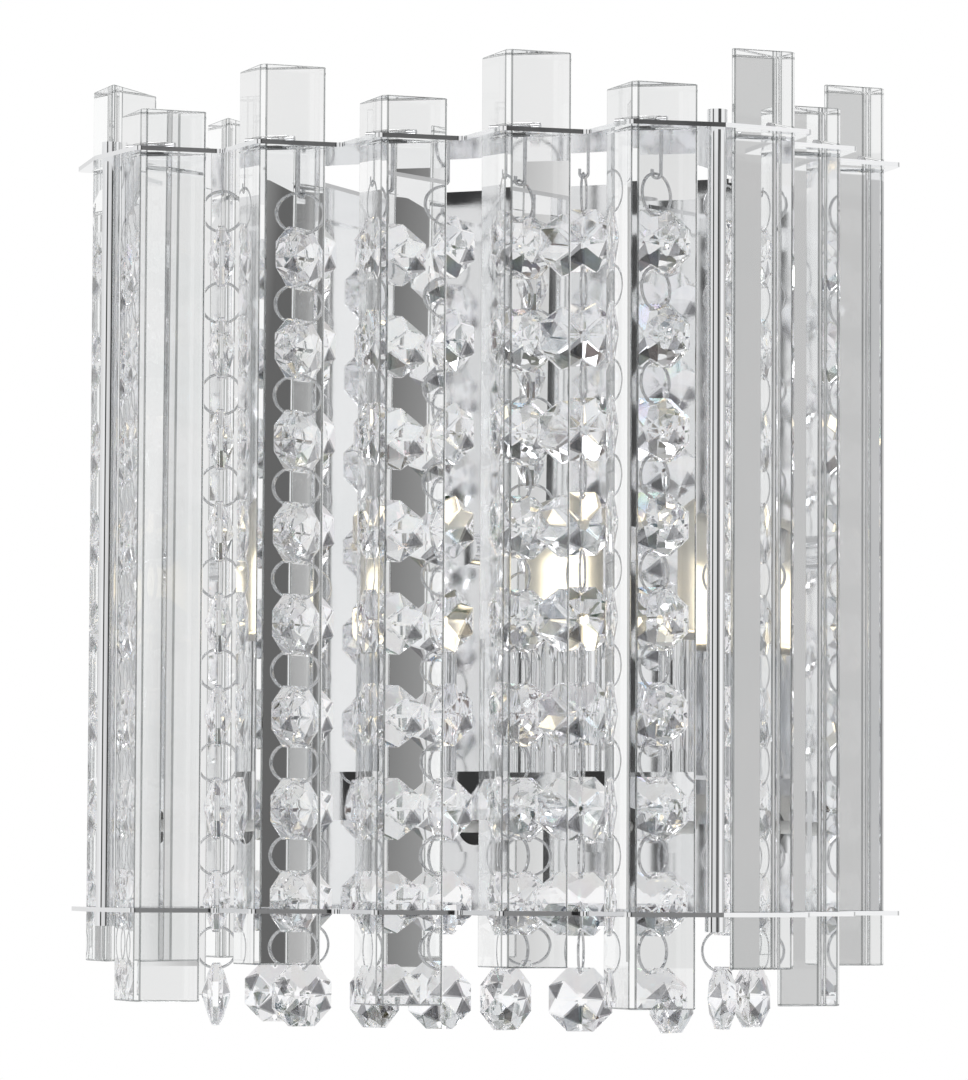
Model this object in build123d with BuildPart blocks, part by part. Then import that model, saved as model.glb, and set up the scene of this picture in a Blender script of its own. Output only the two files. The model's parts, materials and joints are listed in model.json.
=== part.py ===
from build123d import *
import os
from math import cos, pi, radians, sin, sqrt

os.makedirs("parts", exist_ok=True)

# Crystal wall lamp: two toothed chrome plates carry glass prism bars and hanging crystal strands.
# Frame: X to the right seen from the front, +Y into the wall, Z up, origin on the wall plane.
# Plates
plate_spacing = 170.0
sheet = 1.0
front_teeth = 5
side_teeth = 3
front_reach = 121.0
side_reach = 90.0
tooth_depth = 12.6
tooth_inset = 30.8
side_start = 30.5
side_end = 13.0
corner_inset = 13.5
corner_setback = 12.9
tooth_round = 1.5
rear_overlap = 10.0
hook_rim = 7.5
top_front_rim = 41.0
bottom_front_rim = 20.5
bottom_side_rim = 19.5
window_round = 5.0

# Glass bars
bar_width = 21.0
bar_depth = 10.5
bar_apex_flat = 1.6
bar_length = 199.5
bar_high_rise = 17.2
bar_low_rise = 8.7
bar_setback = 3.4
side_bar_setback = 4.4
bar_clearance = 0.25
pin_radius = 0.6
pin_length = 12.0
pin_setback = 3.6
pin_clearance = 0.15

# Crystal strands
bead_sides = 8
bead_width = 14.0
bead_table = 4.0
bead_girdle = 1.6
bead_crown = 2.4
bead_hole_spacing = 11.8
bead_hole_radius = 0.6
beads_per_strand = 9
ring_radius = 4.7
ring_wire = 0.3
strand_drop = 5.3
strand_setback = 36.0
strand_inset = 34.5
inner_strand_x = 16.0
middle_strand_x = 34.0
side_strand_gap = 19.0
rear_strand_gap = 16.7
front_strand_turns = (-66, 50, -20, 20, 66, 15, 75)
left_strand_turns = (24, -40)
right_strand_turns = (-50, 80)
hook_wire = 0.35
hook_gap = 0.3
hook_tip = 1.0
hook_head_radius = 1.4
hook_head_height = 0.8
hook_hole_clearance = 0.15

# Tie rods
rod_radius = 2.0
rod_thread_radius = 1.5
rod_inset = 16.5
rod_setback = 15.5
rod_cap_radius = 2.2
rod_cap_height = 3.2
rod_cap_roof = 0.6
rod_hole_clearance = 0.05

# Back box and wall bracket
box_inset = 20.0
box_depth = 18.3
box_wall = 1.0
bracket_length = 100.0
bracket_height = 20.0
bracket_thickness = 2.0
wall_slot_spacing = 70.0
wall_slot_width = 4.5
wall_slot_length = 9.0
stud_spacing = 44.0
stud_radius = 2.0
stud_hole_clearance = 0.2
stud_cap_radius = 4.2
stud_cap_height = 6.0
stud_cap_roof = 1.5
screw_radius = 1.5
screw_head_radius = 2.75
screw_head_height = 1.8
screw_grip = 5.0
screw_clearance = 0.05
plate_screw_spacing = 100.0

# Lampholders and bulbs
shelf_height = 31.0
shelf_half_width = 34.0
shelf_front = 51.0
shelf_lip = 11.0
shelf_flange = 18.0
holder_spacing = 40.0
holder_setback = 64.0
sleeve_radius = 10.5
sleeve_height = 30.0
sleeve_wall = 0.8
holder_radius = 8.0
holder_drop = 3.0
tail_radius = 5.0
tail_length = 8.0
tail_bore = 2.2
tail_clearance = 0.1
nut_sides = 6
nut_radius = 8.0
nut_height = 3.0
lead_radius = 1.5
lead_level = 12.0
lead_bend = 4.0
lead_clearance = 0.1
bulb_radius = 7.0
bulb_length = 32.0
bulb_base_radius = 6.6
bulb_base_height = 4.5
bulb_gap = 0.3
bulb_pin_radius = 0.6
bulb_pin_length = 9.0
bulb_pin_spacing = 9.0
bulb_pin_clearance = 0.3
grommet_hole = 3.2
grommet_flange = 4.4
grommet_lip = 0.8
block_width = 52.0
block_height = 12.0
block_depth = 11.0
block_bore_depth = 3.0
shelf_screw_spacing = 58.0
shelf_screw_drop = 6.0
earth_head_radius = 3.6
earth_head_height = 2.2
earth_inset = 18.0

# Levels and stations worked out from the sizes above
top_z = plate_spacing / 2
bottom_z = -plate_spacing / 2
top_under = top_z - sheet / 2
top_face = top_z + sheet / 2
bottom_face = bottom_z + sheet / 2
bottom_under = bottom_z - sheet / 2
front_y = -front_reach
panel_y = -box_depth
box_width = 2 * (side_reach - box_inset)
rod_x = side_reach - rod_inset
side_strand_x = side_reach - strand_inset
earth_x = box_width / 2 - earth_inset
tooth_pitch = 2 * (side_reach - tooth_inset) / (front_teeth - 1)
side_pitch = (panel_y - front_y - side_start - side_end) / (side_teeth - 1)
box_height = top_under - bottom_face
shelf_z = bottom_face + shelf_height
holder_y = front_y + holder_setback
holder_xs = (-holder_spacing / 2, holder_spacing / 2)
sides = ("left", "right")


def export(builder, name):
    """Label one finished piece and write it to its file."""
    builder.part.label = name
    export_step(builder.part, f"parts/{name}.step")


def tooth_offsets(count, pitch):
    """Positions of evenly pitched teeth, centred on zero."""
    return [(i - (count - 1) / 2) * pitch for i in range(count)]


front_xs = tooth_offsets(front_teeth, tooth_pitch)
side_ys = [front_y + side_start + i * side_pitch for i in range(side_teeth)]


def half_outline(sign):
    """Plate outline from the front centre to the rear edge on one side, as plain points."""
    points = []
    for x in front_xs:
        if x >= 0:
            points.append((x, front_y))
            if x < front_xs[-1]:
                points.append((x + tooth_pitch / 2, front_y + tooth_depth))
    points.append((side_reach - corner_inset, front_y + corner_setback))
    for y in side_ys:
        points.append((side_reach, y))
        points.append((side_reach - tooth_depth, y + side_pitch / 2))
    points.append((box_width / 2, panel_y + rear_overlap))
    return [(sign * x, y) for x, y in points]


# Each bar stands in one tooth: its place, and whether it is one of the raised ones.
bar_places = [Location((-side_reach + side_bar_setback, y, 0), (0, 0, -90)) for y in reversed(side_ys)]
bar_places += [Location((x, front_y + bar_setback, 0)) for x in front_xs]
bar_places += [Location((side_reach - side_bar_setback, y, 0), (0, 0, 90)) for y in side_ys]
bar_rises = [bar_high_rise if i % 2 == 0 else bar_low_rise for i in range(len(bar_places))]

# Bar section: a right-angled prism, its narrow flat edge outward, its back inward.
half_width = bar_width / 2
half_flat = bar_apex_flat / 2
bar_shoulder = half_width - half_flat
bar_points = [
    (half_flat, 0),
    (half_width, bar_shoulder),
    (half_width, bar_depth),
    (-half_width, bar_depth),
    (-half_width, bar_shoulder),
    (-half_flat, 0),
]
with BuildSketch() as bar_section:
    Polygon(*bar_points, align=None)
with BuildSketch() as bar_pocket:
    Polygon(*bar_points, align=None)
    offset(amount=bar_clearance, kind=Kind.INTERSECTION)

# Strand geometry: a ring curves inside the bead's hole, so the hole's centre sits half the sagitta off.
bead_half = bead_girdle / 2 + bead_crown * (bead_width - bead_hole_spacing) / (bead_width - bead_table)
ring_sag = ring_radius - sqrt(ring_radius**2 - bead_half**2)
bead_pitch = bead_hole_spacing + 2 * ring_radius - ring_sag
hang_z = top_under - strand_drop
first_bead_z = hang_z - 2 * ring_radius + (ring_sag - bead_hole_spacing) / 2
hook_bend = hook_wire + hook_gap + ring_wire

# Each strand: its place across and along, and how far its crystals have turned on the hook.
front_strand_xs = [-side_strand_x, -middle_strand_x, -inner_strand_x, 0]
front_strand_xs += [inner_strand_x, middle_strand_x, side_strand_x]
rear_strand_y = panel_y - rear_strand_gap
side_strand_ys = (rear_strand_y - side_strand_gap, rear_strand_y)
strand_places = [(x, front_y + strand_setback, turn) for x, turn in zip(front_strand_xs, front_strand_turns)]
strand_places += [(-side_strand_x, y, turn) for y, turn in zip(side_strand_ys, left_strand_turns)]
strand_places += [(side_strand_x, y, turn) for y, turn in zip(side_strand_ys, right_strand_turns)]


def hook_place(x, y, turn):
    """Where a strand's hook goes up through the top plate: beside the ring by the hook's bend."""
    shift_x = hook_bend * cos(radians(turn))
    shift_y = hook_bend * sin(radians(turn))
    return (x + shift_x, y + shift_y)


# Plates
def plate(name, level, window_x, window_front, hooks):
    """Toothed sheet with bar pockets, a window inside, rod and screw holes and any hook holes."""
    with BuildPart() as piece:
        with BuildSketch(Plane.XY.offset(level - sheet / 2)):
            with BuildLine():
                Polyline(*half_outline(1), *reversed(half_outline(-1)[1:]), close=True)
            make_face()
            fillet(vertices(), tooth_round)
            with Locations(*bar_places):
                add(bar_pocket.sketch, mode=Mode.SUBTRACT)
            with Locations((0, (front_y + window_front + panel_y) / 2)):
                window_length = panel_y - front_y - window_front
                RectangleRounded(2 * window_x, window_length, window_round, mode=Mode.SUBTRACT)
            with Locations((-rod_x, front_y + rod_setback), (rod_x, front_y + rod_setback)):
                Circle(rod_thread_radius + rod_hole_clearance, mode=Mode.SUBTRACT)
            with Locations(*plate_screw_spots):
                Circle(screw_radius + screw_clearance, mode=Mode.SUBTRACT)
            for spot in hooks:
                with Locations(hook_place(*spot)):
                    Circle(hook_wire + hook_hole_clearance, mode=Mode.SUBTRACT)
        extrude(amount=sheet)
    export(piece, name)


plate_screw_y = panel_y + rear_overlap / 2
plate_screw_spots = [(-plate_screw_spacing / 2, plate_screw_y), (plate_screw_spacing / 2, plate_screw_y)]
plate("top_plate", top_z, side_strand_x - hook_rim, top_front_rim, strand_places)
plate("bottom_plate", bottom_z, side_reach - bottom_side_rim, bottom_front_rim, [])

# Glass bars with their cross pins, which rest on the top plate
pin_z = top_face + pin_radius
for number, (place, rise) in enumerate(zip(bar_places, bar_rises), start=1):
    with BuildPart() as bar:
        with BuildSketch(Plane(place).offset(top_face + rise - bar_length)):
            add(bar_section.sketch)
        extrude(amount=bar_length)
        with Locations(place * Location((0, pin_setback, pin_z), (0, 90, 0))):
            Cylinder(pin_radius + pin_clearance, bar_width, mode=Mode.SUBTRACT)
    export(bar, f"glass_bar_{number:02d}")
with BuildPart() as bar_pins:
    with Locations(*[place * Location((0, pin_setback, pin_z), (0, 90, 0)) for place in bar_places]):
        Cylinder(pin_radius, pin_length)
export(bar_pins, "bar_pins")

# One crystal: an octagon with a thin girdle, two bevelled crowns and a hole near each end
with BuildPart() as bead:
    octagon_radius = bead_width / 2 / cos(pi / bead_sides)
    table_radius = bead_table / 2 / cos(pi / bead_sides)
    flat_up = 180 / bead_sides
    with BuildSketch(Plane.XZ):
        RegularPolygon(octagon_radius, bead_sides, rotation=flat_up)
    extrude(amount=bead_girdle / 2, both=True)
    for face_plane in (Plane.XZ, Plane.XZ.rotated((0, 0, 180))):
        with BuildSketch(face_plane.offset(bead_girdle / 2)):
            RegularPolygon(octagon_radius, bead_sides, rotation=flat_up)
        with BuildSketch(face_plane.offset(bead_girdle / 2 + bead_crown)):
            RegularPolygon(table_radius, bead_sides, rotation=flat_up)
        loft()
    with Locations((0, 0, bead_hole_spacing / 2), (0, 0, -bead_hole_spacing / 2)):
        Cylinder(bead_hole_radius, bead_width, rotation=(90, 0, 0), mode=Mode.SUBTRACT)

# Strands: each bead hangs in the ring above it
for number, (x, y, turn) in enumerate(strand_places, start=1):
    with BuildPart() as crystals:
        for i in range(beads_per_strand):
            with Locations(Location((x, y, first_bead_z - i * bead_pitch), (0, 0, turn))):
                add(bead.part)
    export(crystals, f"strand_{number:02d}_crystals")
    with BuildPart() as rings:
        for i in range(beads_per_strand):
            with Locations(Location((x, y, hang_z - ring_radius - i * bead_pitch), (0, 0, turn))):
                Torus(ring_radius, ring_wire, rotation=(0, 90, 0))
    export(rings, f"strand_{number:02d}_rings")

# Wire hooks: a head on the plate, a straight shank and a bend round the strand's first ring
with BuildPart() as strand_hooks:
    for x, y, turn in strand_places:
        side = Plane(Location((x, y, hang_z), (0, 0, turn)) * Location((0, 0, 0), (90, 0, 0)))
        shank_top = top_face - hang_z
        with BuildLine(side) as hook_path:
            Line((hook_bend, shank_top), (hook_bend, 0))
            ThreePointArc((hook_bend, 0), (0, -hook_bend), (-hook_bend, 0))
            Line((-hook_bend, 0), (-hook_bend, hook_tip))
        with BuildSketch(Plane(hook_path.line @ 0, z_dir=hook_path.line % 0)):
            Circle(hook_wire)
        sweep(path=hook_path.line)
        with Locations((*hook_place(x, y, turn), top_face + hook_head_height / 2)):
            Cylinder(hook_head_radius, hook_head_height)
export(strand_hooks, "strand_hooks")

# Tie rods between the plates, with round nuts on their threaded ends
thread_end = rod_cap_height - rod_cap_roof
for side_name, sign in zip(sides, (-1, 1)):
    with BuildPart() as tie_rod:
        with Locations((sign * rod_x, front_y + rod_setback, 0)):
            Cylinder(rod_radius, box_height)
            Cylinder(rod_thread_radius, box_height + 2 * (sheet + thread_end))
    export(tie_rod, f"tie_rod_{side_name}")
with BuildPart() as tie_rod_nuts:
    for sign in (-1, 1):
        for level, turn_over in ((top_face, 0), (bottom_under, 180)):
            place = Location((sign * rod_x, front_y + rod_setback, level), (turn_over, 0, 0))
            with BuildSketch(Plane(place)):
                Circle(rod_cap_radius)
            extrude(amount=rod_cap_height)
            with BuildSketch(Plane(place)):
                Circle(rod_thread_radius)
            extrude(amount=thread_end, mode=Mode.SUBTRACT)
export(tie_rod_nuts, "tie_rod_nuts")

# Back box: a pan open to the wall
grommet_spots = [(x, shelf_z - lead_level) for x in holder_xs]
shelf_screw_z = shelf_z - shelf_screw_drop
shelf_screw_spots = [(-shelf_screw_spacing / 2, shelf_screw_z), (shelf_screw_spacing / 2, shelf_screw_z)]
stud_spots = [(-stud_spacing / 2, 0), (stud_spacing / 2, 0)]
with BuildPart() as back_box:
    with Locations((0, panel_y / 2, 0)):
        Box(box_width, box_depth, box_height)
    with Locations((0, (panel_y + box_wall) / 2, 0)):
        Box(box_width - 2 * box_wall, box_depth - box_wall, box_height - 2 * box_wall, mode=Mode.SUBTRACT)
    with BuildSketch(Plane.XZ.offset(box_depth)):
        with Locations(*grommet_spots):
            Circle(grommet_hole)
        with Locations(*shelf_screw_spots, (earth_x, 0)):
            Circle(screw_radius + screw_clearance)
        with Locations(*stud_spots):
            Circle(stud_radius + stud_hole_clearance)
    extrude(amount=-box_wall, mode=Mode.SUBTRACT)
    with BuildSketch(Plane.XY.offset(bottom_face)):
        with Locations(*plate_screw_spots):
            Circle(screw_radius + screw_clearance)
    extrude(amount=box_height, mode=Mode.SUBTRACT)
export(back_box, "back_box")


# One pan-head screw: the head stands on the origin, the shank goes down from it
with BuildPart() as screw:
    Cylinder(screw_head_radius, screw_head_height, align=(Align.CENTER, Align.CENTER, Align.MIN))
    Cylinder(screw_radius, screw_grip, align=(Align.CENTER, Align.CENTER, Align.MAX))
with BuildPart() as plate_screws:
    for x, y in plate_screw_spots:
        with Locations(Location((x, y, top_face)), Location((x, y, bottom_under), (180, 0, 0))):
            add(screw.part)
export(plate_screws, "plate_screws")

# Wall bracket with its studs and the cap nuts that hold the box to it
with BuildPart() as wall_bracket:
    with BuildSketch(Plane.XZ):
        Rectangle(bracket_length, bracket_height)
        with Locations((-wall_slot_spacing / 2, 0), (wall_slot_spacing / 2, 0)):
            SlotOverall(wall_slot_length, wall_slot_width, mode=Mode.SUBTRACT)
        with Locations(*stud_spots):
            Circle(stud_radius, mode=Mode.SUBTRACT)
    extrude(amount=bracket_thickness)
export(wall_bracket, "wall_bracket")
stud_length = box_depth + stud_cap_height - stud_cap_roof
with BuildPart() as bracket_studs:
    with BuildSketch(Plane.XZ):
        with Locations(*stud_spots):
            Circle(stud_radius)
    extrude(amount=stud_length)
export(bracket_studs, "bracket_studs")
with BuildPart() as stud_cap_nuts:
    with BuildSketch(Plane.XZ.offset(box_depth)):
        with Locations(*stud_spots):
            Circle(stud_cap_radius)
    extrude(amount=stud_cap_height)
    with BuildSketch(Plane.XZ.offset(box_depth)):
        with Locations(*stud_spots):
            Circle(stud_radius)
    extrude(amount=stud_cap_height - stud_cap_roof, mode=Mode.SUBTRACT)
export(stud_cap_nuts, "stud_cap_nuts")

# Shelf for the lampholders: a bent sheet with a front lip and a rear flange on the panel
shelf_depth = panel_y - front_y - shelf_front
with BuildPart() as holder_bracket:
    with BuildSketch(Plane.YZ.offset(-shelf_half_width)):
        with BuildLine():
            Polyline(
                (panel_y, shelf_z),
                (panel_y - shelf_depth, shelf_z),
                (panel_y - shelf_depth, shelf_z - shelf_lip),
                (panel_y - shelf_depth + sheet, shelf_z - shelf_lip),
                (panel_y - shelf_depth + sheet, shelf_z - sheet),
                (panel_y - sheet, shelf_z - sheet),
                (panel_y - sheet, shelf_z - shelf_flange),
                (panel_y, shelf_z - shelf_flange),
                close=True,
            )
        make_face()
    extrude(amount=2 * shelf_half_width)
    with Locations(*[(x, holder_y, shelf_z) for x in holder_xs]):
        Cylinder(tail_radius + tail_clearance, 4 * sheet, mode=Mode.SUBTRACT)
    with BuildSketch(Plane.XZ.offset(box_depth)):
        with Locations(*grommet_spots):
            Circle(grommet_flange + lead_clearance)
        with Locations(*shelf_screw_spots):
            Circle(screw_radius + screw_clearance)
    extrude(amount=sheet, mode=Mode.SUBTRACT)
export(holder_bracket, "holder_bracket")
with BuildPart() as shelf_screws:
    for x, z in shelf_screw_spots:
        with Locations(Location((x, panel_y - sheet, z), (90, 0, 0))):
            add(screw.part)
export(shelf_screws, "shelf_screws")

# Lampholders in chrome sleeves, held under the shelf by nuts, with their leads to the terminal block
holder_top = shelf_z + sleeve_height - holder_drop
tail_end = shelf_z - tail_length
for side_name, x in zip(sides, holder_xs):
    with BuildPart() as sleeve:
        with BuildSketch(Plane.XY.offset(shelf_z)):
            with Locations((x, holder_y)):
                Circle(sleeve_radius)
                Circle(tail_radius + tail_clearance, mode=Mode.SUBTRACT)
        extrude(amount=sleeve_height)
        with BuildSketch(Plane.XY.offset(shelf_z + sleeve_wall)):
            with Locations((x, holder_y)):
                Circle(sleeve_radius - sleeve_wall)
        extrude(amount=sleeve_height - sleeve_wall, mode=Mode.SUBTRACT)
    export(sleeve, f"holder_sleeve_{side_name}")
    with BuildPart() as holder:
        with BuildSketch(Plane.XY.offset(shelf_z + sleeve_wall)):
            with Locations((x, holder_y)):
                Circle(holder_radius)
        extrude(amount=holder_top - shelf_z - sleeve_wall)
        with BuildSketch(Plane.XY.offset(tail_end)):
            with Locations((x, holder_y)):
                Circle(tail_radius)
        extrude(amount=shelf_z + sleeve_wall - tail_end)
        with BuildSketch(Plane.XY.offset(tail_end)):
            with Locations((x, holder_y)):
                Circle(tail_bore)
        extrude(amount=tail_length, mode=Mode.SUBTRACT)
        with BuildSketch(Plane.XY.offset(holder_top)):
            with Locations((x - bulb_pin_spacing / 2, holder_y), (x + bulb_pin_spacing / 2, holder_y)):
                Circle(bulb_pin_radius + bulb_pin_clearance)
        extrude(amount=-bulb_pin_length - bulb_pin_clearance, mode=Mode.SUBTRACT)
    export(holder, f"lamp_holder_{side_name}")
    base_z = holder_top + bulb_gap
    with BuildPart() as bulb_base:
        with BuildSketch(Plane.XY.offset(base_z)):
            with Locations((x, holder_y)):
                Circle(bulb_base_radius)
        extrude(amount=bulb_base_height)
        with BuildSketch(Plane.XY.offset(base_z)):
            with Locations((x - bulb_pin_spacing / 2, holder_y), (x + bulb_pin_spacing / 2, holder_y)):
                Circle(bulb_pin_radius)
        extrude(amount=-bulb_pin_length)
    export(bulb_base, f"bulb_base_{side_name}")
    glass_z = base_z + bulb_base_height
    with BuildPart() as bulb:
        with BuildSketch(Plane.XZ.offset(-holder_y)):
            with BuildLine():
                Line((x, glass_z), (x + bulb_radius, glass_z))
                Line((x + bulb_radius, glass_z), (x + bulb_radius, glass_z + bulb_length - bulb_radius))
                RadiusArc(
                    (x + bulb_radius, glass_z + bulb_length - bulb_radius),
                    (x, glass_z + bulb_length),
                    -bulb_radius,
                )
                Line((x, glass_z + bulb_length), (x, glass_z))
            make_face()
        revolve(axis=Axis((x, holder_y, 0), (0, 0, 1)))
    export(bulb, f"bulb_{side_name}")
with BuildPart() as holder_nuts:
    for x in holder_xs:
        with BuildSketch(Plane.XY.offset(shelf_z - sheet)):
            with Locations((x, holder_y)):
                RegularPolygon(nut_radius, nut_sides)
                Circle(tail_radius, mode=Mode.SUBTRACT)
        extrude(amount=-nut_height)
export(holder_nuts, "holder_nuts")
lead_z = shelf_z - lead_level
with BuildPart() as holder_leads:
    for x in holder_xs:
        with BuildLine(Plane.YZ.offset(x)) as lead_path:
            FilletPolyline(
                (holder_y, tail_end + sheet),
                (holder_y, lead_z),
                (panel_y + box_wall + block_bore_depth, lead_z),
                radius=lead_bend,
            )
        with BuildSketch(Plane(lead_path.line @ 0, z_dir=lead_path.line % 0)):
            Circle(lead_radius)
        sweep(path=lead_path.line)
export(holder_leads, "holder_leads")
with BuildPart() as wire_grommets:
    with BuildSketch(Plane.XZ.offset(box_depth)):
        with Locations(*grommet_spots):
            Circle(grommet_flange)
    extrude(amount=grommet_lip)
    with BuildSketch(Plane.XZ.offset(box_depth)):
        with Locations(*grommet_spots):
            Circle(grommet_hole)
    extrude(amount=-box_wall)
    with BuildSketch(Plane.XZ.offset(box_depth + grommet_lip)):
        with Locations(*grommet_spots):
            Circle(lead_radius + lead_clearance)
    extrude(amount=-box_wall - grommet_lip, mode=Mode.SUBTRACT)
export(wire_grommets, "wire_grommets")
with BuildPart() as terminal_block:
    with Locations((0, panel_y + box_wall + block_depth / 2, lead_z)):
        Box(block_width, block_depth, block_height)
    with BuildSketch(Plane.XZ.offset(box_depth - box_wall)):
        with Locations(*grommet_spots):
            Circle(lead_radius + lead_clearance)
    extrude(amount=-block_bore_depth, mode=Mode.SUBTRACT)
export(terminal_block, "terminal_block")

# Earth screw through the panel from inside
with BuildPart() as earth_screw:
    with BuildSketch(Plane.XZ.offset(box_depth - box_wall)):
        with Locations((earth_x, 0)):
            Circle(earth_head_radius)
    extrude(amount=-earth_head_height)
    with BuildSketch(Plane.XZ.offset(box_depth)):
        with Locations((earth_x, 0)):
            Circle(screw_radius)
    extrude(amount=-box_wall)
export(earth_screw, "earth_screw")
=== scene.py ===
import json
import math

import bmesh
import bpy
from mathutils import Matrix, Vector


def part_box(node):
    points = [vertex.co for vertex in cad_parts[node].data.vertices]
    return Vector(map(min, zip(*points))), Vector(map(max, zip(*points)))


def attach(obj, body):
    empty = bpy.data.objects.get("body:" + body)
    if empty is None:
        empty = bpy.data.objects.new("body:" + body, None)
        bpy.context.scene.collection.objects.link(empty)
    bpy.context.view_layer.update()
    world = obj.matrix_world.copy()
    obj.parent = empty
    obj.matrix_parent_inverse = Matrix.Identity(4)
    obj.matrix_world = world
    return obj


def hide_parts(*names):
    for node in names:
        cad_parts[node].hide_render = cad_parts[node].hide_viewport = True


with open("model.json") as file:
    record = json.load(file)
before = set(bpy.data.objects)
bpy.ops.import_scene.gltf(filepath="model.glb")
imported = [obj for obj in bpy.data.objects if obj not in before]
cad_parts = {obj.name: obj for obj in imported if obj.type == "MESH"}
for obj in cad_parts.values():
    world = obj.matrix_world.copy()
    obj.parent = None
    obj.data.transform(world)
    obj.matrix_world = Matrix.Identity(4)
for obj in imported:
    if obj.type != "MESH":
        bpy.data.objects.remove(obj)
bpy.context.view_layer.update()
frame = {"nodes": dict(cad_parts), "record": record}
nodes = frame["nodes"]
scene = bpy.context.scene
scene.view_settings.view_transform = "Standard"

# Light crosses many facets here, so its paths are long enough to come out again
LONGEST_PATH = 48
MIRROR_TURNS = 36
scene.cycles.max_bounces = LONGEST_PATH
scene.cycles.transmission_bounces = LONGEST_PATH
scene.cycles.glossy_bounces = MIRROR_TURNS

# Camera: the photograph's viewpoint, in metres in the part's frame
PHOTO_HEIGHT = 1080
FOCAL_PX = 5404.6
CAMERA_AT = Vector((0.4884, -1.1913, -0.0744))
YAW = math.radians(23.376)
PITCH = math.radians(3.432)
ROLL = math.radians(0.29)
SENSOR = 24.0
NEAREST = 0.01
FARTHEST = 100


def make_camera():
    """Stands where the photograph was taken, tilted up so the lamp's foot is low in the frame."""
    data = bpy.data.cameras.new("photo_camera")
    data.sensor_fit = "VERTICAL"
    data.sensor_height = SENSOR
    data.lens = SENSOR * FOCAL_PX / PHOTO_HEIGHT
    data.clip_start = NEAREST
    data.clip_end = FARTHEST
    camera = bpy.data.objects.new("photo_camera", data)
    flat = math.cos(PITCH)
    forward = Vector((-math.sin(YAW) * flat, math.cos(YAW) * flat, math.sin(PITCH)))
    turn = forward.to_track_quat("-Z", "Y").to_matrix().to_4x4()
    camera.matrix_world = Matrix.Translation(CAMERA_AT) @ turn @ Matrix.Rotation(ROLL, 4, "Z")
    scene.collection.objects.link(camera)
    scene.camera = camera


# Materials: noise scales are per metre, bump heights in metres
NOISE_DETAIL = 3.0
NOISE_RANGE = (0.3, 0.7)
CLOUD_SCALE = 60
POLISH_SCALE = 400
FILM_SCALE = 90
FILM_IOR = 1.45
METAL_POLISH_FINER = 4
METAL_RIPPLE_FINER = 2
METAL_RIPPLE_HEIGHT = 0.0004
PLAIN_POLISH_FINER = 3
PLAIN_GRAIN_FINER = 6
PLAIN_GRAIN = 0.1
PLAIN_GRAIN_HEIGHT = 0.0003
CORE_ROUGHNESS = 0.4
CORE_ROWS = 260.0
CORE_WAVER = 0.6


def new_material(name):
    """An empty node material with its principled shader."""
    material = bpy.data.materials.new(name)
    material.use_nodes = True
    return material, material.node_tree, material.node_tree.nodes["Principled BSDF"]


def noise(tree, scale):
    """Noise in the object's own coordinates, which are the part's frame in metres."""
    place = tree.nodes.new("ShaderNodeTexCoord")
    texture = tree.nodes.new("ShaderNodeTexNoise")
    texture.inputs["Scale"].default_value = scale
    texture.inputs["Detail"].default_value = NOISE_DETAIL
    tree.links.new(place.outputs["Object"], texture.inputs["Vector"])
    return texture.outputs["Fac"]


def spread(tree, value, low, high):
    """Maps a noise value to a range."""
    node = tree.nodes.new("ShaderNodeMapRange")
    node.inputs["From Min"].default_value = NOISE_RANGE[0]
    node.inputs["From Max"].default_value = NOISE_RANGE[1]
    node.inputs["To Min"].default_value = low
    node.inputs["To Max"].default_value = high
    tree.links.new(value, node.inputs["Value"])
    return node.outputs["Result"]


def tint(tree, value, dark, light):
    """Maps a noise value to a colour between two."""
    ramp = tree.nodes.new("ShaderNodeValToRGB")
    for element, position, colour in zip(ramp.color_ramp.elements, NOISE_RANGE, (dark, light)):
        element.position = position
        element.color = (*colour, 1)
    tree.links.new(value, ramp.inputs["Fac"])
    return ramp.outputs["Color"]


def bump(tree, shader, value, strength, distance):
    """Raises the surface by a noise value."""
    node = tree.nodes.new("ShaderNodeBump")
    node.inputs["Strength"].default_value = strength
    node.inputs["Distance"].default_value = distance
    tree.links.new(value, node.inputs["Height"])
    tree.links.new(node.outputs["Normal"], shader.inputs["Normal"])


def glass(name, dark, light, ior, rough, film=None):
    """Polished glass with faint cloud in its colour and its polish, and a thin film if its range is given."""
    material, tree, shader = new_material(name)
    shader.inputs["Transmission Weight"].default_value = 1.0
    shader.inputs["IOR"].default_value = ior
    if film:
        shader.inputs["Thin Film IOR"].default_value = FILM_IOR
        tree.links.new(spread(tree, noise(tree, FILM_SCALE), *film), shader.inputs["Thin Film Thickness"])
    tree.links.new(tint(tree, noise(tree, CLOUD_SCALE), dark, light), shader.inputs["Base Color"])
    tree.links.new(spread(tree, noise(tree, POLISH_SCALE), *rough), shader.inputs["Roughness"])
    return material


def metal(name, dark, light, rough, scale, ripple=0.0):
    """Plated or bare metal whose polish varies over its surface."""
    material, tree, shader = new_material(name)
    shader.inputs["Metallic"].default_value = 1.0
    tree.links.new(tint(tree, noise(tree, scale), dark, light), shader.inputs["Base Color"])
    polish = noise(tree, scale * METAL_POLISH_FINER)
    tree.links.new(spread(tree, polish, *rough), shader.inputs["Roughness"])
    if ripple:
        bump(tree, shader, noise(tree, scale * METAL_RIPPLE_FINER), ripple, METAL_RIPPLE_HEIGHT)
    return material


def plain(name, dark, light, rough, scale):
    """Ceramic, plastic or rubber with a fine uneven surface."""
    material, tree, shader = new_material(name)
    tree.links.new(tint(tree, noise(tree, scale), dark, light), shader.inputs["Base Color"])
    polish = noise(tree, scale * PLAIN_POLISH_FINER)
    tree.links.new(spread(tree, polish, *rough), shader.inputs["Roughness"])
    bump(tree, shader, noise(tree, scale * PLAIN_GRAIN_FINER), PLAIN_GRAIN, PLAIN_GRAIN_HEIGHT)
    return material


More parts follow.
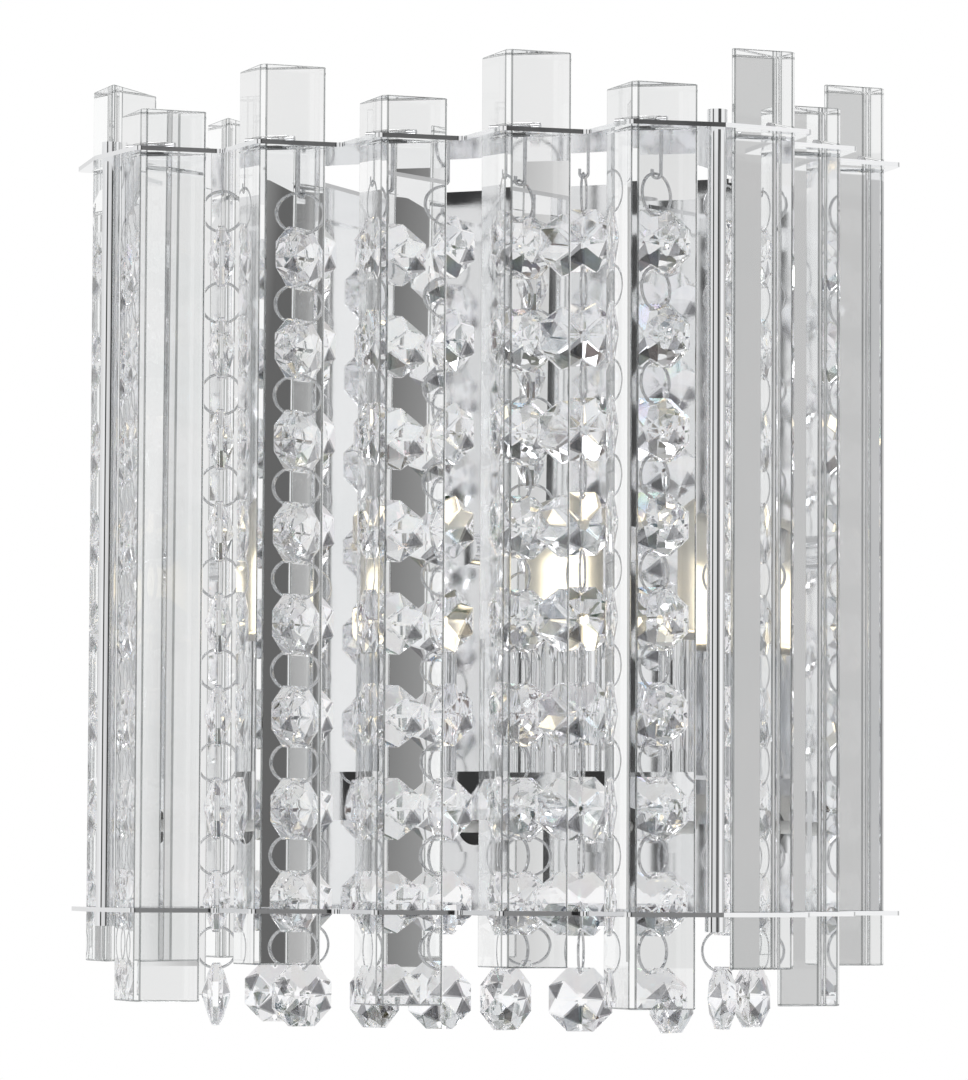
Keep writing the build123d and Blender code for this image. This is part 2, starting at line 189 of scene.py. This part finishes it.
def lit_core():
    """Rows of small warm lamps on the column inside a bulb."""
    material, tree, shader = new_material("bulb_core")
    shader.inputs["Roughness"].default_value = CORE_ROUGHNESS
    place = tree.nodes.new("ShaderNodeTexCoord")
    rows = tree.nodes.new("ShaderNodeTexWave")
    rows.bands_direction = "Z"
    rows.inputs["Scale"].default_value = CORE_ROWS
    rows.inputs["Distortion"].default_value = CORE_WAVER
    tree.links.new(place.outputs["Object"], rows.inputs["Vector"])
    body = tint(tree, rows.outputs["Fac"], (0.97, 0.90, 0.74), (1.0, 0.95, 0.84))
    glow = tint(tree, rows.outputs["Fac"], (1.0, 0.86, 0.62), (1.0, 0.91, 0.72))
    power = spread(tree, rows.outputs["Fac"], 1.7, 2.3)
    tree.links.new(body, shader.inputs["Base Color"])
    tree.links.new(glow, shader.inputs["Emission Color"])
    tree.links.new(power, shader.inputs["Emission Strength"])
    return material


materials = {
    "bar_glass": glass("bar_glass", (0.965, 0.975, 0.975), (1.0, 1.0, 1.0), 1.5, (0.0, 0.012)),
    # Painted shade: a darker glass on the bars' eased edges, for the dark lines real glass edges show
    "bar_edge_painted_shade": glass("bar_edge_painted_shade", (0.14, 0.15, 0.15), (0.28, 0.29, 0.29), 1.5, (0.05, 0.2)),
    "crystal": glass("crystal", (0.97, 0.97, 0.985), (1.0, 1.0, 1.0), 1.58, (0.0, 0.01), film=(260.0, 480.0)),
    # Painted shade: a dark glass laid on chosen crystal facets, for the dark surroundings real facets refract
    "crystal_painted_shade": glass("crystal_painted_shade", (0.12, 0.12, 0.13), (0.30, 0.30, 0.31), 1.58, (0.0, 0.01)),
    "bulb_glass": glass("bulb_glass", (0.99, 0.97, 0.91), (1.0, 0.99, 0.96), 1.45, (0.35, 0.45)),
    "bulb_core": lit_core(),
    "chrome": metal("chrome", (0.83, 0.84, 0.85), (0.91, 0.91, 0.92), (0.03, 0.08), 25, 0.03),
    "wire_chrome": metal("wire_chrome", (0.50, 0.51, 0.52), (0.66, 0.66, 0.67), (0.02, 0.06), 300),
    "steel": metal("steel", (0.48, 0.49, 0.50), (0.62, 0.62, 0.63), (0.25, 0.4), 200, 0.1),
    "ceramic": plain("ceramic", (0.86, 0.84, 0.79), (0.93, 0.91, 0.88), (0.25, 0.4), 120),
    "lead_sleeve": plain("lead_sleeve", (0.78, 0.78, 0.76), (0.86, 0.86, 0.84), (0.4, 0.55), 200),
    "grommet_rubber": plain("grommet_rubber", (0.03, 0.03, 0.03), (0.06, 0.06, 0.06), (0.6, 0.8), 200),
    "terminal_plastic": plain("terminal_plastic", (0.82, 0.81, 0.77), (0.90, 0.89, 0.85), (0.4, 0.6), 150),
}
for subpart in frame["record"]["subparts"]:
    mesh = nodes[subpart["node"]].data
    mesh.materials.clear()
    mesh.materials.append(materials[subpart["material_slot"]])


# Crystals: the same octagons as the solids, with their star of facets
BEAD_SIDES = 8
BEAD_RADIUS = 0.007 / math.cos(math.pi / BEAD_SIDES)
BEAD_GIRDLE = 0.0008
BEAD_MID_RADIUS = 0.0052
BEAD_MID_DEPTH = 0.00175
BEAD_TABLE_RADIUS = 0.0007
BEAD_TABLE_DEPTH = 0.0032
BEAD_HALF_WIDTH = 0.007
BEAD_HOLE = 0.0006
BEAD_HOLE_AT = 0.0059
HOLE_STEPS = 16
BEADS = 9
# Facets given painted shade, a dark glass standing in for the dark surroundings real facets refract, on each
# face of a crystal: inner wedges, then outer corners
FEW_PAINTED_SHADE = ((4,), (2,))
MORE_PAINTED_SHADE = ((1, 4), (2, 6))
STRAND_TURNS = (-66, 50, -20, 20, 66, 15, 75, 24, -40, -50, 80)


def ring_of_points(bm, radius, depth, half_step):
    """Eight points round the bead, level with a flat or, half a step on, with a corner."""
    step = 2 * math.pi / BEAD_SIDES
    angles = [(k + half_step) * step for k in range(BEAD_SIDES)]
    return [bm.verts.new((radius * math.sin(a), depth, radius * math.cos(a))) for a in angles]


def make_bead(painted_shade_facets):
    """One crystal at the origin, its faces along Y, drilled near its top and bottom."""
    painted_shade_wedges, painted_shade_corners = painted_shade_facets
    bm = bmesh.new()
    girdles = []
    # Of each face's facets, those with material 1 are the darker glass of painted shade
    for side in (-1, 1):
        girdle = ring_of_points(bm, BEAD_RADIUS, side * BEAD_GIRDLE, 0.5)
        middle = ring_of_points(bm, BEAD_MID_RADIUS, side * BEAD_MID_DEPTH, 0)
        table = ring_of_points(bm, BEAD_TABLE_RADIUS, side * BEAD_TABLE_DEPTH, 0.5)
        girdles.append(girdle)
        bm.faces.new(table)
        for k in range(BEAD_SIDES):
            after = (k + 1) % BEAD_SIDES
            bm.faces.new((girdle[k - 1], girdle[k], middle[k]))
            corner = bm.faces.new((middle[k], girdle[k], middle[after]))
            corner.material_index = int(k in painted_shade_corners)
            wedge = bm.faces.new((middle[k], middle[after], table[k]))
            wedge.material_index = int(k in painted_shade_wedges)
            bm.faces.new((table[k - 1], middle[k], table[k]))
    for k in range(BEAD_SIDES):
        bm.faces.new((girdles[0][k - 1], girdles[0][k], girdles[1][k], girdles[1][k - 1]))
    bmesh.ops.recalc_face_normals(bm, faces=bm.faces)
    mesh = bpy.data.meshes.new("bead")
    bm.to_mesh(mesh)
    bm.free()
    # The second material, the dark glass, is painted shade on chosen facets
    mesh.materials.append(materials["crystal"])
    mesh.materials.append(materials["crystal_painted_shade"])
    bead = bpy.data.objects.new("bead", mesh)
    scene.collection.objects.link(bead)
    drills = []
    for side in (-1, 1):
        turn = Matrix.Rotation(math.pi / 2, 4, "X")
        bm = bmesh.new()
        bmesh.ops.create_cone(
            bm, cap_ends=True, segments=HOLE_STEPS, radius1=BEAD_HOLE, radius2=BEAD_HOLE,
            depth=4 * BEAD_TABLE_DEPTH, matrix=Matrix.Translation((0, 0, side * BEAD_HOLE_AT)) @ turn,
        )
        drill_mesh = bpy.data.meshes.new("drill")
        bm.to_mesh(drill_mesh)
        bm.free()
        drill = bpy.data.objects.new("drill", drill_mesh)
        scene.collection.objects.link(drill)
        cut = bead.modifiers.new("hole", "BOOLEAN")
        cut.operation = "DIFFERENCE"
        cut.solver = "EXACT"
        cut.object = drill
        drills.append(drill)
    drilled = bpy.data.meshes.new_from_object(bead.evaluated_get(bpy.context.evaluated_depsgraph_get()))
    for temporary in (bead, *drills):
        bpy.data.objects.remove(temporary)
    return drilled


def make_strands():
    """Each strand's crystals, hung where its solids are, the lowest with more facets of painted shade."""
    drilled = [make_bead(FEW_PAINTED_SHADE)] * (BEADS - 1) + [make_bead(MORE_PAINTED_SHADE)]
    for number, turn in enumerate(STRAND_TURNS, start=1):
        name = f"strand_{number:02d}"
        low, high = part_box(f"{name}_crystals")
        top = high[2] - BEAD_HALF_WIDTH
        pitch = (top - low[2] - BEAD_HALF_WIDTH) / (BEADS - 1)
        across = (low[0] + high[0]) / 2
        along = (low[1] + high[1]) / 2
        bm = bmesh.new()
        for i in range(BEADS):
            single = drilled[i].copy()
            place = Matrix.Translation((across, along, top - i * pitch))
            single.transform(place @ Matrix.Rotation(math.radians(turn), 4, "Z"))
            bm.from_mesh(single)
            bpy.data.meshes.remove(single)
        mesh = bpy.data.meshes.new(f"{name}_facets")
        bm.to_mesh(mesh)
        bm.free()
        # The second material is the crystals' painted shade
        mesh.materials.append(materials["crystal"])
        mesh.materials.append(materials["crystal_painted_shade"])
        crystals = bpy.data.objects.new(f"{name}_facets", mesh)
        scene.collection.objects.link(crystals)
        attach(crystals, name)
        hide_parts(f"{name}_crystals")


make_strands()


# Bulbs: a hollow glass capsule with a lit column inside
BULB_WALL = 0.0007
CORE_RADIUS = 0.0038
CORE_LENGTH = 0.019
ROUND_STEPS = 48
DOME_STEPS = 10
SMOOTH_TURN = math.radians(40)


def lathe(name, profile, at, material):
    """A closed round piece from a profile of radius and height pairs that starts and ends on the axis."""
    bm = bmesh.new()
    rows = []
    for radius, height in profile:
        if radius == 0:
            rows.append([bm.verts.new((at[0], at[1], height))])
            continue
        turns = [2 * math.pi * k / ROUND_STEPS for k in range(ROUND_STEPS)]
        spots = [(at[0] + radius * math.cos(t), at[1] + radius * math.sin(t), height) for t in turns]
        rows.append([bm.verts.new(spot) for spot in spots])
    for lower, upper in zip(rows, rows[1:]):
        for k in range(ROUND_STEPS):
            after = (k + 1) % ROUND_STEPS
            below = (lower[k % len(lower)], lower[after % len(lower)])
            above = (upper[after % len(upper)], upper[k % len(upper)])
            bm.faces.new(list(dict.fromkeys(below + above)))
    bmesh.ops.recalc_face_normals(bm, faces=bm.faces)
    mesh = bpy.data.meshes.new(name)
    bm.to_mesh(mesh)
    bm.free()
    mesh.shade_smooth()
    mesh.set_sharp_from_angle(angle=SMOOTH_TURN)
    mesh.materials.append(material)
    piece = bpy.data.objects.new(name, mesh)
    scene.collection.objects.link(piece)
    return piece


def capsule(radius, foot, top):
    """A round-ended outline from the foot up to the crown."""
    straight = top - radius
    turns = [math.pi / 2 * k / DOME_STEPS for k in range(DOME_STEPS + 1)]
    dome = [(radius * math.cos(t), straight + radius * math.sin(t)) for t in turns[:-1]]
    return [(radius, foot), *dome, (0, top)]


def make_bulbs():
    """Each bulb's glass and its lit column, where the solid bulb is."""
    for side in ("left", "right"):
        low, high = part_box(f"bulb_{side}")
        at = ((low[0] + high[0]) / 2, (low[1] + high[1]) / 2)
        radius = (high[0] - low[0]) / 2
        inside = capsule(radius - BULB_WALL, low[2] + BULB_WALL, high[2] - BULB_WALL)
        outline = [(0, low[2]), *capsule(radius, low[2], high[2])]
        shell = lathe(f"bulb_{side}_glass", outline, at, materials["bulb_glass"])
        hollow = lathe(f"bulb_{side}_hollow", [(0, low[2] + BULB_WALL), *inside], at, materials["bulb_glass"])
        bm = bmesh.new()
        bm.from_mesh(hollow.data)
        bmesh.ops.reverse_faces(bm, faces=bm.faces)
        bm.from_mesh(shell.data)
        bm.to_mesh(shell.data)
        bm.free()
        bpy.data.objects.remove(hollow)
        foot = low[2] + BULB_WALL
        column = [(0, foot), *capsule(CORE_RADIUS, foot, foot + CORE_LENGTH)]
        core = lathe(f"bulb_{side}_core", column, at, materials["bulb_core"])
        for piece in (shell, core):
            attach(piece, f"lamp_{side}")
        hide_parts(f"bulb_{side}")


make_bulbs()

# Bars: the solid prisms with the fine polished edges that real glass has
BAR_EDGE = 0.00025
LONG_EDGE = 0.0006
EDGE_TURN = math.radians(20)
EDGE_STEPS = 2
EDGE_PROFILE = 0.5
FLAT_TURN = math.radians(1)
WELD = 1e-6


def make_bars():
    """Each glass bar again, its sharp edges eased and given darker glass as painted shade."""
    for name in [n for n in nodes if n.startswith("glass_bar")]:
        bm = bmesh.new()
        bm.from_mesh(nodes[name].data)
        bmesh.ops.remove_doubles(bm, verts=bm.verts, dist=WELD)
        bmesh.ops.dissolve_limit(bm, angle_limit=FLAT_TURN, verts=bm.verts, edges=bm.edges)
        long_edges = [e for e in bm.edges if e.is_manifold and e.calc_length() > LONG_EDGE]
        eased = [e for e in long_edges if e.calc_face_angle() > EDGE_TURN]
        bevels = bmesh.ops.bevel(
            bm, geom=eased, offset=BAR_EDGE, segments=EDGE_STEPS, profile=EDGE_PROFILE, affect="EDGES"
        )
        for face in bm.faces:
            face.smooth = False
        # Material 1 is the edges' darker glass, painted shade for the dark lines that real glass edges show
        for face in bevels["faces"]:
            face.material_index = 1
        mesh = bpy.data.meshes.new(f"{name}_polished")
        bm.to_mesh(mesh)
        bm.free()
        # The second material is the edges' painted shade
        mesh.materials.append(materials["bar_glass"])
        mesh.materials.append(materials["bar_edge_painted_shade"])
        bar = bpy.data.objects.new(f"{name}_polished", mesh)
        scene.collection.objects.link(bar)
        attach(bar, "frame")
        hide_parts(name)


make_bars()


# Studio: white to the camera; glass and metal see the same white with soft grey and dark flags in it
# Azimuth bands: start, end and grey, as shares of the circle. 0.5 is into the wall, 0.75 the lamp's right.
# The tall flags stand near the horizon, the low ones only in its middle.
LOW_BANDS = (
    (0.00, 0.03, 0.80), (0.04, 0.08, 0.04), (0.09, 0.18, 0.95), (0.19, 0.349, 0.85),
    (0.3505, 0.356, 0.13), (0.357, 0.36, 0.38), (0.3615, 0.39, 0.80), (0.40, 0.464, 1.00),
    (0.4662, 0.4697, 0.16), (0.4715, 0.54, 0.95), (0.55, 0.67, 0.56), (0.685, 0.80, 1.00),
    (0.81, 0.86, 0.26), (0.87, 0.905, 0.02), (0.91, 0.94, 0.70), (0.95, 1.00, 0.80),
)
TALL_BANDS = (
    (0.00, 0.04, 0.90), (0.05, 0.08, 0.08), (0.09, 0.30, 0.95), (0.31, 0.40, 0.90), (0.41, 0.50, 1.00),
    (0.51, 0.54, 0.85), (0.55, 0.67, 0.60), (0.685, 0.80, 1.00), (0.81, 0.90, 0.08), (0.91, 1.00, 0.95),
)
# Where the flags start and end in height, on the scale of the elevation bands below
LOW_FLAGS = (0.4905, 0.5655)
TALL_FLAGS = (0.45, 0.60)
# Elevation bands: start, end and grey, by the sine of the angle, from straight down at 0 to straight up at 1.
ELEVATION_BANDS = (
    (0.00, 0.26, 0.80), (0.28, 0.315, 0.60), (0.335, 0.445, 0.95), (0.47, 0.60, 1.00), (0.64, 0.73, 0.85),
    (0.75, 0.80, 0.15), (0.815, 0.85, 1.00), (0.89, 1.00, 0.45),
)
SOFT_LEVEL = 0.7
# Colour sockets of a mix node: the two inputs and the result
MIX_FIRST = 6
MIX_SECOND = 7
MIX_RESULT = 2
# Each light: name, place, size and power
LIGHTS = (
    ("key", (-0.6, -0.9, 0.9), 0.6, 5),
    ("fill", (0.75, -0.6, 0.9), 0.5, 2.5),
)
FLOOR_SIZE = 2.4
FLOOR_AT = (0, -0.1, -0.6)
FLOOR_SCALE = 3
FLOOR_ROUGHNESS = 0.8


def band_ramp(tree, value, bands):
    """A grey that changes by bands along a value from 0 to 1."""
    ramp = tree.nodes.new("ShaderNodeValToRGB")
    elements = ramp.color_ramp.elements
    elements[0].position = bands[0][0]
    elements[0].color = (*[bands[0][2]] * 3, 1)
    elements[1].position = bands[-1][1]
    elements[1].color = (*[bands[-1][2]] * 3, 1)
    for start, end, grey in bands:
        for position in (start, end):
            if 0 < position < 1:
                elements.new(position).color = (grey, grey, grey, 1)
    tree.links.new(value, ramp.inputs["Fac"])
    return ramp.outputs["Color"]


def mixed(tree, share, first, second):
    """Two colours mixed by a share, each a colour written here or a node's output."""
    node = tree.nodes.new("ShaderNodeMix")
    node.data_type = "RGBA"
    tree.links.new(share, node.inputs["Factor"])
    for socket, colour in ((node.inputs[MIX_FIRST], first), (node.inputs[MIX_SECOND], second)):
        if isinstance(colour, tuple):
            socket.default_value = (*colour, 1)
        else:
            tree.links.new(colour, socket)
    return node.outputs[MIX_RESULT]


def make_world():
    """White behind the object, the flags for what reflects and refracts, and an even soft light otherwise."""
    world = bpy.data.worlds.new("studio")
    scene.world = world
    world.use_nodes = True
    tree = world.node_tree
    background = tree.nodes["Background"]
    place = tree.nodes.new("ShaderNodeTexCoord")
    split = tree.nodes.new("ShaderNodeSeparateXYZ")
    tree.links.new(place.outputs["Generated"], split.inputs["Vector"])
    angle = tree.nodes.new("ShaderNodeMath")
    angle.operation = "ARCTAN2"
    tree.links.new(split.outputs["X"], angle.inputs[0])
    tree.links.new(split.outputs["Y"], angle.inputs[1])
    shares = []
    for value, limit in ((angle.outputs[0], math.pi), (split.outputs["Z"], 1.0)):
        share = tree.nodes.new("ShaderNodeMapRange")
        share.inputs["From Min"].default_value = -limit
        share.inputs["From Max"].default_value = limit
        tree.links.new(value, share.inputs["Value"])
        shares.append(share.outputs["Result"])
    flags = band_ramp(tree, shares[1], ELEVATION_BANDS)
    for bands, (foot, top) in ((TALL_BANDS, TALL_FLAGS), (LOW_BANDS, LOW_FLAGS)):
        inside = tree.nodes.new("ShaderNodeMath")
        inside.operation = "COMPARE"
        inside.inputs[1].default_value = (foot + top) / 2
        inside.inputs[2].default_value = (top - foot) / 2
        tree.links.new(shares[1], inside.inputs[0])
        flags = mixed(tree, inside.outputs[0], flags, band_ramp(tree, shares[0], bands))
    path = tree.nodes.new("ShaderNodeLightPath")
    mirrored = tree.nodes.new("ShaderNodeMath")
    mirrored.operation = "MAXIMUM"
    tree.links.new(path.outputs["Is Glossy Ray"], mirrored.inputs[0])
    tree.links.new(path.outputs["Is Transmission Ray"], mirrored.inputs[1])
    lit = mixed(tree, mirrored.outputs[0], (SOFT_LEVEL,) * 3, flags)
    seen = mixed(tree, path.outputs["Is Camera Ray"], lit, (1.0, 1.0, 1.0))
    tree.links.new(seen, background.inputs["Color"])
    background.inputs["Strength"].default_value = 1.0


def area_light(name, at, size, power):
    """A soft box that looks at the lamp."""
    data = bpy.data.lights.new(name, "AREA")
    data.shape = "SQUARE"
    data.size = size
    data.energy = power
    light = bpy.data.objects.new(name, data)
    aim = (-Vector(at)).to_track_quat("-Z", "Y").to_matrix().to_4x4()
    light.matrix_world = Matrix.Translation(at) @ aim
    scene.collection.objects.link(light)


def make_floor():
    """A pale floor well below the lamp."""
    bpy.ops.mesh.primitive_plane_add(size=FLOOR_SIZE, location=FLOOR_AT)
    floor = bpy.context.object
    floor.name = "floor"
    material, tree, shader = new_material("floor")
    pale = tint(tree, noise(tree, FLOOR_SCALE), (0.9, 0.9, 0.9), (0.94, 0.94, 0.94))
    tree.links.new(pale, shader.inputs["Base Color"])
    shader.inputs["Roughness"].default_value = FLOOR_ROUGHNESS
    floor.data.materials.append(material)


make_camera()
make_world()
for light in LIGHTS:
    area_light(*light)
make_floor()
